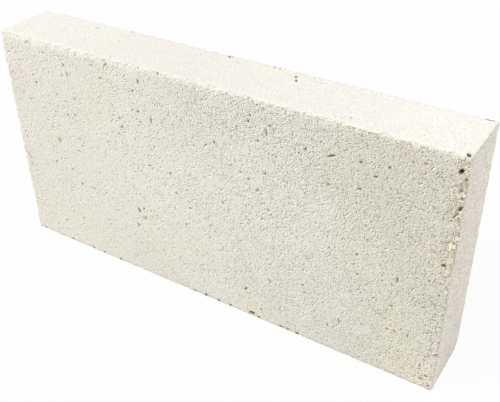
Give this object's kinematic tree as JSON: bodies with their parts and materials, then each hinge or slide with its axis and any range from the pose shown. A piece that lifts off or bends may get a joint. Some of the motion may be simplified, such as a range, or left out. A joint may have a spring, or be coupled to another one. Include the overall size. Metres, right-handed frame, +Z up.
{
  "type": "refractory firebrick",
  "caption": "Thin rectangular refractory firebrick with a porous cream-white body, rubbed arrises and chipped corners, laid in kiln, oven and furnace linings.",
  "frame": {"origin": "under the middle of the brick, on the long edge face that it stands on", "axes": "+X along the length, +Y through the thickness from the front bed face to the back one, +Z up"},
  "size_m": [0.2286, 0.0318, 0.1143],
  "materials": {
    "fired_clay": "matte porous fired body, fine granular faces with open pores"
  },
  "bodies": {
    "root": {"firebrick": "fired_clay"}
  },
  "joints": []
}
